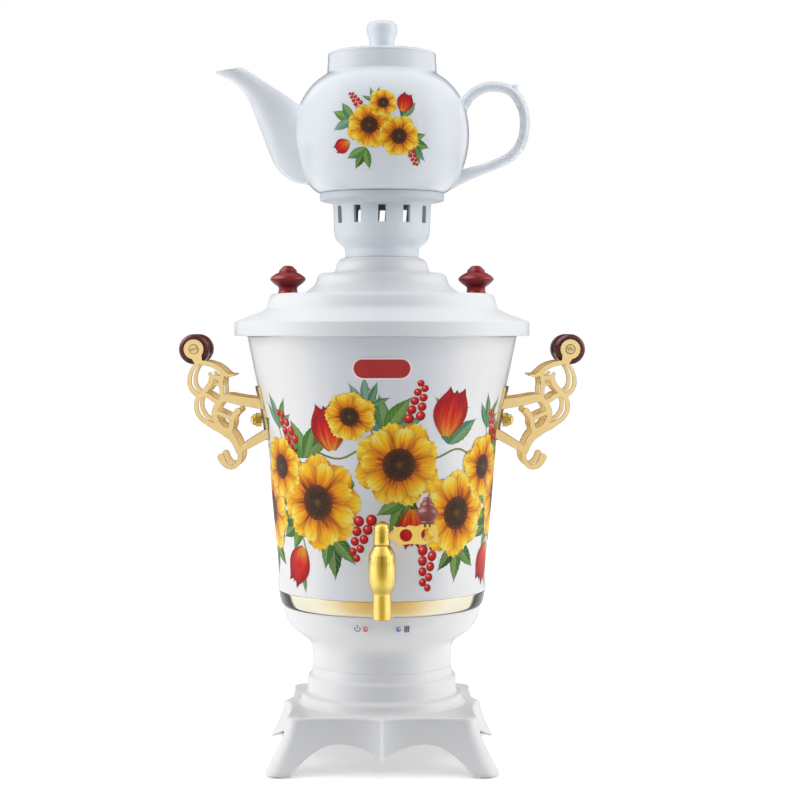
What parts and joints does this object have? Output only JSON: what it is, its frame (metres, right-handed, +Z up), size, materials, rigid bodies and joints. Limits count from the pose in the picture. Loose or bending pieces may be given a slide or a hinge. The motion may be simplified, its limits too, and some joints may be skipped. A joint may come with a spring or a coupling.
{
  "type": "samovar",
  "caption": "Electric samovar: flared tank on a four-legged stand, lid with two knobs, perforated crown, china teapot, spigot tap and two scroll handles.",
  "frame": {"origin": "middle of the footprint, on the floor under the rubber feet", "axes": "+Z up; the tap faces -Y; the teapot's spout points to -X and its handle to +X"},
  "size_m": [0.3004, 0.2236, 0.5488],
  "materials": {
    "white_plastic": "glossy moulded",
    "white_enamel": "glossy enamel",
    "gold_plate": "polished pale gold",
    "bright_gold": "polished deep gold",
    "brass": "plain brass",
    "steel": "brushed",
    "element_steel": "heat-tinted",
    "red_wood": "glossy red lacquer",
    "dusty_red_wood": "satin red lacquer",
    "dark_wood": "dark satin lacquer",
    "china": "clear glaze",
    "ceramic_body": "bare ceramic",
    "rubber": "matte",
    "silicone": "translucent white",
    "black_plastic": "fine texture",
    "red_rocker": "glossy",
    "red_lens": "clear red",
    "blue_lens": "clear blue",
    "board_green": "solder mask",
    "wire_insulation": "satin sleeve",
    "red_badge": "red enamel, pale rim"
  },
  "bodies": {
    "samovar": {"stand": "white_plastic", "rubber_feet": "rubber", "base_plate": "white_plastic", "base_screws": "steel", "lower_bowl": "white_plastic", "gold_band": "gold_plate", "outer_casing": "white_enamel", "nameplate": "red_badge", "inner_tank": "steel", "tie_rod": "steel", "tie_nut": "steel", "heating_element": "element_steel", "element_nuts": "brass", "thermostat": "black_plastic", "thermal_cutout": "ceramic_body", "lamp_board": "board_green", "power_lamp": "red_lens", "heating_lamp": "blue_lens", "power_inlet": "black_plastic", "inlet_pins": "brass", "switch_housing": "black_plastic", "internal_wiring": "wire_insulation", "tap_body": "bright_gold", "tap_washers": "silicone", "tap_nut": "brass", "handle_bracket_left": "gold_plate", "handle_bracket_right": "gold_plate", "grip_left": "dark_wood", "grip_right": "dark_wood", "grip_rods": "gold_plate", "handle_bolts": "steel", "handle_nuts": "gold_plate"},
    "lid": {"lid": "white_plastic", "lid_knob_left": "red_wood", "lid_knob_right": "red_wood", "lid_knob_screws": "steel"},
    "crown": {"crown": "white_plastic"},
    "teapot": {"teapot": "china"},
    "teapot_lid": {"teapot_lid": "china"},
    "tap_handle": {"tap_plug": "brass", "tap_cap": "bright_gold", "tap_lever": "gold_plate", "tap_knob": "dusty_red_wood"},
    "rocker": {"switch_rocker": "red_rocker"}
  },
  "joints": [
    {"name": "lid_lift", "type": "slide", "parent": "samovar", "child": "lid", "axis": [0, 0, 1], "range_m": [0, 0.1]},
    {"name": "crown_lift", "type": "slide", "parent": "lid", "child": "crown", "axis": [0, 0, 1], "range_m": [0, 0.05]},
    {"name": "teapot_lift", "type": "slide", "parent": "crown", "child": "teapot", "axis": [0, 0, 1], "range_m": [0, 0.08]},
    {"name": "teapot_lid_lift", "type": "slide", "parent": "teapot", "child": "teapot_lid", "axis": [0, 0, 1], "range_m": [0, 0.05]},
    {"name": "tap_turn", "type": "hinge", "parent": "samovar", "child": "tap_handle", "pos_m": [0, -0.104, 0.152], "axis": [0, 0, -1], "range_deg": [0, 90]},
    {"name": "switch_rock", "type": "hinge", "parent": "samovar", "child": "rocker", "pos_m": [0.017, 0.0735, 0.09775], "axis": [-1, 0, 0], "range_deg": [0, 18]}
  ]
}
